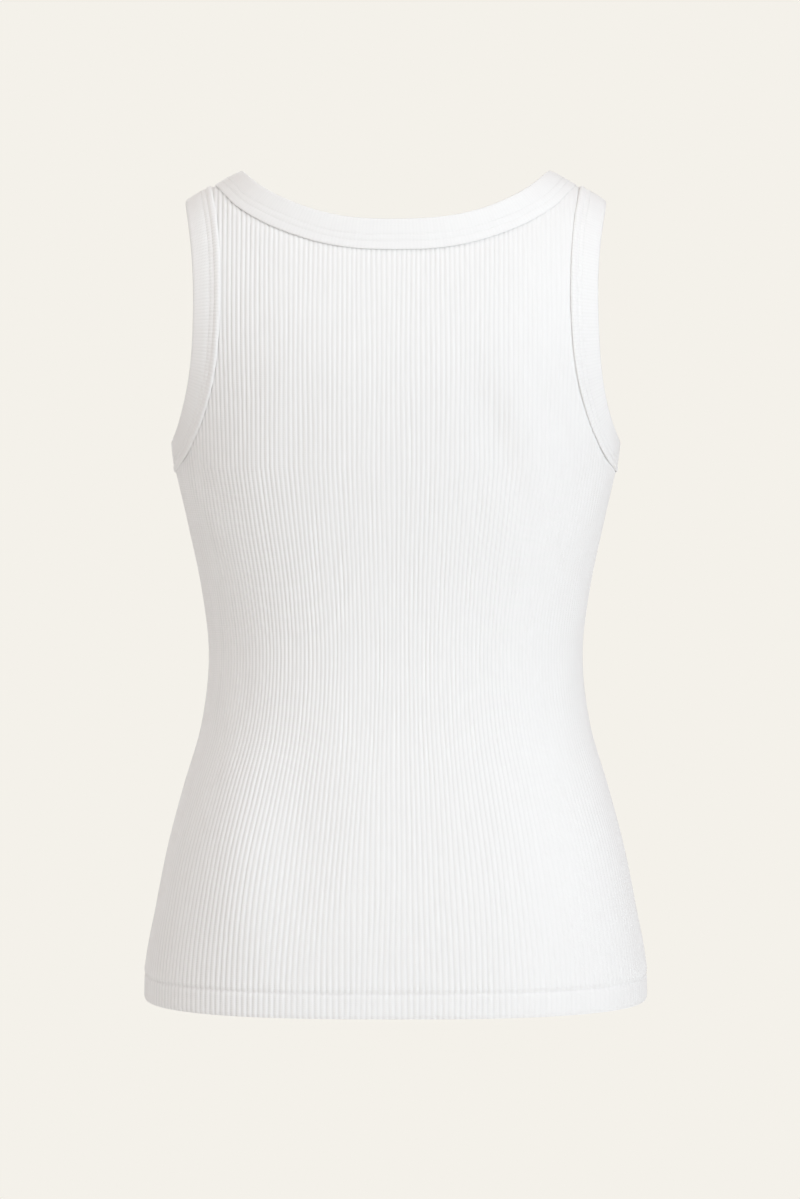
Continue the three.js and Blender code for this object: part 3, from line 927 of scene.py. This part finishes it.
def knitStitchesGroup():
    # columns of slanting stitches on the ridges, as a height between 0 and 1
    tree = bpy.data.node_groups.new("knitStitches", "ShaderNodeTree")
    tree.interface.new_socket("Knit", in_out="INPUT", socket_type="NodeSocketVector")
    for name in ("StitchHeight", "Slant", "Fuzz"):
        tree.interface.new_socket(name, in_out="INPUT", socket_type="NodeSocketFloat")
    tree.interface.new_socket("Height", in_out="OUTPUT", socket_type="NodeSocketFloat")
    given = tree.nodes.new("NodeGroupInput")
    result = tree.nodes.new("NodeGroupOutput")
    split = tree.nodes.new("ShaderNodeSeparateXYZ")
    tree.links.new(given.outputs["Knit"], split.inputs[0])
    place = groupMath(tree, "FRACT", split.outputs["X"])
    aside = groupMath(tree, "ABSOLUTE", groupMath(tree, "SUBTRACT", place, 0.5))
    rows = groupMath(tree, "DIVIDE", split.outputs["Y"], given.outputs["StitchHeight"])
    slanted = groupMath(tree, "ADD", rows, groupMath(tree, "MULTIPLY", aside, given.outputs["Slant"]))
    wave = groupMath(tree, "SINE", groupMath(tree, "MULTIPLY", slanted, 2 * math.pi))
    legs = groupMath(tree, "MULTIPLY_ADD", wave, 0.5, 0.5)
    middle = groupMath(tree, "MULTIPLY", aside, cloth["legSharpness"], clamp=True)
    body = groupMath(tree, "MULTIPLY", legs, middle)
    noise = tree.nodes.new("ShaderNodeTexNoise")
    noise.inputs["Scale"].default_value = cloth["fuzz"]["scale"]
    noise.inputs["Detail"].default_value = cloth["fuzz"]["detail"]
    tree.links.new(given.outputs["Knit"], noise.inputs["Vector"])
    fuzz = groupMath(tree, "MULTIPLY", noise.outputs["Fac"], given.outputs["Fuzz"])
    tree.links.new(groupMath(tree, "ADD", body, fuzz), result.inputs["Height"])
    return tree


def yarnToneAndValleyShadeGroup():
    # painted shade: slightly greyer in the valleys; and uneven from yarn to yarn
    tree = bpy.data.node_groups.new("yarnToneAndValleyShade", "ShaderNodeTree")
    tree.interface.new_socket("Knit", in_out="INPUT", socket_type="NodeSocketVector")
    tree.interface.new_socket("Base", in_out="INPUT", socket_type="NodeSocketColor")
    tree.interface.new_socket("ValleyShade", in_out="INPUT", socket_type="NodeSocketFloat")
    tree.interface.new_socket("Uneven", in_out="INPUT", socket_type="NodeSocketFloat")
    tree.interface.new_socket("Color", in_out="OUTPUT", socket_type="NodeSocketColor")
    given = tree.nodes.new("NodeGroupInput")
    result = tree.nodes.new("NodeGroupOutput")
    split = tree.nodes.new("ShaderNodeSeparateXYZ")
    tree.links.new(given.outputs["Knit"], split.inputs[0])
    stretch = tree.nodes.new("ShaderNodeVectorMath")
    stretch.operation = "MULTIPLY"
    stretch.inputs[1].default_value = cloth["yarn"]["stretch"]
    tree.links.new(given.outputs["Knit"], stretch.inputs[0])
    noise = tree.nodes.new("ShaderNodeTexNoise")
    noise.inputs["Scale"].default_value = cloth["yarn"]["scale"]
    noise.inputs["Detail"].default_value = cloth["yarn"]["detail"]
    tree.links.new(stretch.outputs[0], noise.inputs["Vector"])
    # painted shade: the valley mask, squared, times how grey the valleys are painted
    valleyShade = groupMath(tree, "POWER", split.outputs["Z"], cloth["valleyShadePower"])
    deep = groupMath(tree, "MULTIPLY", valleyShade, given.outputs["ValleyShade"])
    centred = groupMath(tree, "SUBTRACT", noise.outputs["Fac"], 0.5)
    drift = groupMath(tree, "MULTIPLY", centred, given.outputs["Uneven"])
    level = groupMath(tree, "SUBTRACT", groupMath(tree, "SUBTRACT", 1.0, deep), drift)
    shade = tree.nodes.new("ShaderNodeVectorMath")
    shade.operation = "SCALE"
    tree.links.new(given.outputs["Base"], shade.inputs[0])
    tree.links.new(level, shade.inputs["Scale"])
    tree.links.new(shade.outputs[0], result.inputs["Color"])
    return tree


def addCloth(name):
    sizes = cloth[name]
    material = bpy.data.materials.new(name)
    material.use_nodes = True
    tree = material.node_tree
    shader = tree.nodes["Principled BSDF"]
    shader.inputs["Roughness"].default_value = cloth["roughness"]
    shader.inputs["Sheen Weight"].default_value = cloth["sheen"]
    shader.inputs["Sheen Roughness"].default_value = cloth["sheenRoughness"]
    shader.inputs["Specular IOR Level"].default_value = cloth["specular"]
    knit = tree.nodes.new("ShaderNodeAttribute")
    knit.attribute_name = "knit"
    pattern = tree.nodes.new("ShaderNodeGroup")
    pattern.node_tree = knitStitches
    pattern.inputs["StitchHeight"].default_value = sizes["stitch"]
    pattern.inputs["Slant"].default_value = sizes["slant"]
    pattern.inputs["Fuzz"].default_value = cloth["fuzz"]["amount"]
    tone = tree.nodes.new("ShaderNodeGroup")
    tone.node_tree = yarnToneAndValleyShade
    tone.inputs["Base"].default_value = (*sizes["base"], 1)
    # the valleys' grey is painted shade in the base colour
    tone.inputs["ValleyShade"].default_value = sizes["valleyShade"]
    tone.inputs["Uneven"].default_value = cloth["yarn"]["uneven"]
    raised = tree.nodes.new("ShaderNodeBump")
    raised.inputs["Strength"].default_value = sizes["bump"]
    raised.inputs["Distance"].default_value = cloth["bumpDepth"] * mm
    tree.links.new(knit.outputs["Vector"], pattern.inputs["Knit"])
    tree.links.new(knit.outputs["Vector"], tone.inputs["Knit"])
    tree.links.new(pattern.outputs["Height"], raised.inputs["Height"])
    tree.links.new(raised.outputs["Normal"], shader.inputs["Normal"])
    tree.links.new(tone.outputs["Color"], shader.inputs["Base Color"])
    return material


def addThread():
    sizes = cloth["thread"]
    material = bpy.data.materials.new("thread")
    material.use_nodes = True
    tree = material.node_tree
    shader = tree.nodes["Principled BSDF"]
    shader.inputs["Roughness"].default_value = sizes["roughness"]
    shader.inputs["Sheen Weight"].default_value = cloth["sheen"]
    place = tree.nodes.new("ShaderNodeTexCoord")
    noise = tree.nodes.new("ShaderNodeTexNoise")
    noise.inputs["Scale"].default_value = sizes["scale"]
    tint = tree.nodes.new("ShaderNodeValToRGB")
    tint.color_ramp.elements[0].color = (*[value * sizes["darker"] for value in sizes["base"]], 1)
    tint.color_ramp.elements[1].color = (*sizes["base"], 1)
    tree.links.new(place.outputs["Object"], noise.inputs["Vector"])
    tree.links.new(noise.outputs["Fac"], tint.inputs["Fac"])
    tree.links.new(tint.outputs["Color"], shader.inputs["Base Color"])
    return material


knitStitches = knitStitchesGroup()
yarnToneAndValleyShade = yarnToneAndValleyShadeGroup()
ribKnit = addCloth("ribKnit")
bandKnit = addCloth("bandKnit")
threadMaterial = addThread()
for piece in (backPanel, frontPanel):
    piece.data.materials.append(ribKnit)
for piece in (neckBand, armBandLeft, armBandRight):
    piece.data.materials.append(bandKnit)
print("materials made")


stitchNodes = stitchTree()
bandStitches = (stitches["spacing"], stitches["length"], stitches["radius"])
neckStitches = addStitches("neckStitches", neckRows, *bandStitches, 3)
armStitchesLeft = addStitches("armStitchesLeft", armRowsLeft, *bandStitches, 5)
armStitchesRight = addStitches("armStitchesRight", armRowsRight, *bandStitches, 7)
hemStitches = addStitches("hemStitches", [hemRow()], stitches["hemSpacing"], stitches["hemLength"],
                          stitches["hemRadius"], 9)
print("stitches made")


# Studio: a pale floor out of the picture, a cream backdrop and five soft lamps, the main one at the right

studio = {
    "backdrop": (0.905, 0.880, 0.823),
    "ambient": (0.9, 0.75, 0.68),
    "ambientStrength": 0.458,
    "floor": (0.86, 0.85, 0.83),
    "floorSeen": 0.75,  # how much of the backdrop's own tone the camera sees on the floor
    "floorRoughness": 0.9,
    "floorLevel": -1200,
    "floorRadius": 2200,
    "floorSides": 96,
    "aim": (0, 0, -300),
    "lamps": {
        "keyLight": {"place": (-2300, 2150, 500), "size": 1900, "power": 51.2, "tint": (0.8, 0.92, 1.0)},
        "fillLight": {"place": (2300, 2000, 200), "size": 2200, "power": 13.6, "tint": (0.77, 0.94, 1.0)},
        "frontLight": {"place": (0, 3200, 300), "size": 1900, "power": 7.2, "tint": (1.0, 0.98, 1.0)},
        "farLight": {"place": (700, -3000, 500), "size": 2200, "power": 64, "tint": (0.86, 0.97, 1.0)},
        "topLight": {"place": (500, 1000, 2400), "size": 1900, "power": 21, "tint": (0.95, 1.0, 1.0)},
    },
}


def paleFloor():
    material = bpy.data.materials.new("paleFloor")
    material.use_nodes = True
    tree = material.node_tree
    shader = tree.nodes["Principled BSDF"]
    shader.inputs["Base Color"].default_value = (*studio["floor"], 1)
    shader.inputs["Roughness"].default_value = studio["floorRoughness"]
    tone = tree.nodes.new("ShaderNodeEmission")
    tone.inputs["Color"].default_value = (*studio["backdrop"], 1)
    path = tree.nodes.new("ShaderNodeLightPath")
    share = groupMath(tree, "MULTIPLY", path.outputs["Is Camera Ray"], studio["floorSeen"])
    mix = tree.nodes.new("ShaderNodeMixShader")
    tree.links.new(share, mix.inputs[0])
    tree.links.new(shader.outputs[0], mix.inputs[1])
    tree.links.new(tone.outputs[0], mix.inputs[2])
    tree.links.new(mix.outputs[0], tree.nodes["Material Output"].inputs["Surface"])
    return material


def addFloor():
    turn = np.linspace(0, 2 * math.pi, studio["floorSides"], endpoint=False)
    edge = np.column_stack([np.cos(turn), np.sin(turn)]) * studio["floorRadius"]
    places = np.column_stack([edge, np.full(len(turn), float(studio["floorLevel"]))]) * mm
    mesh = bpy.data.meshes.new("floor")
    mesh.from_pydata(places.tolist(), [], [list(range(len(turn)))])
    floor = bpy.data.objects.new("floor", mesh)
    bpy.context.collection.objects.link(floor)
    mesh.materials.append(paleFloor())


def addLight(name, sizes):
    data = bpy.data.lights.new(name, "AREA")
    data.shape = "DISK"
    data.size = sizes["size"] * mm
    data.energy = sizes["power"]
    data.color = sizes["tint"]
    light = bpy.data.objects.new(name, data)
    light.location = Vector(sizes["place"]) * mm
    towards = Vector(studio["aim"]) * mm - light.location
    light.rotation_euler = towards.to_track_quat("-Z", "Y").to_euler()
    bpy.context.collection.objects.link(light)


def addWorld():
    world = bpy.data.worlds.new("studio")
    world.use_nodes = True
    tree = world.node_tree
    tree.nodes.clear()
    seen = tree.nodes.new("ShaderNodeBackground")
    seen.inputs["Color"].default_value = (*studio["backdrop"], 1)
    around = tree.nodes.new("ShaderNodeBackground")
    around.inputs["Color"].default_value = (*studio["ambient"], 1)
    around.inputs["Strength"].default_value = studio["ambientStrength"]
    path = tree.nodes.new("ShaderNodeLightPath")
    mix = tree.nodes.new("ShaderNodeMixShader")
    out = tree.nodes.new("ShaderNodeOutputWorld")
    tree.links.new(path.outputs["Is Camera Ray"], mix.inputs[0])
    tree.links.new(around.outputs[0], mix.inputs[1])
    tree.links.new(seen.outputs[0], mix.inputs[2])
    tree.links.new(mix.outputs[0], out.inputs[0])
    bpy.context.scene.world = world


addFloor()
for lampName, lampSizes in studio["lamps"].items():
    addLight(lampName, lampSizes)
addWorld()
bpy.context.scene.view_settings.view_transform = "Standard"
print("studio lit")


# What rides, what stands for what, and what each piece was cut from

sheets = {
    "backPanel": {"node": "back_panel", "slot": "rib_knit", "flat": (0.491, 0.62), "area": 0.213},
    "frontPanel": {"node": "front_panel", "slot": "rib_knit", "flat": (0.482, 0.63), "area": 0.201},
    "neckBand": {"node": "neck_band", "slot": "band_knit", "flat": (0.69, 0.0205), "area": None},
    "armBandLeft": {"node": "arm_band_left", "slot": "band_knit", "flat": (0.5, 0.02), "area": None},
    "armBandRight": {"node": "arm_band_right", "slot": "band_knit", "flat": (0.5, 0.02), "area": None},
}
sewn = {
    "frontPanel": [],
    "backPanel": [hemStitches],
    "neckBand": [neckStitches],
    "armBandLeft": [armStitchesLeft],
    "armBandRight": [armStitchesRight],
}
for name, facts in sheets.items():
    piece = bpy.data.objects[name]
    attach(piece, "root")
    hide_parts(facts["node"])
    for row in sewn[name]:
        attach(row, "root")
for name, facts in sheets.items():
    piece = bpy.data.objects[name]
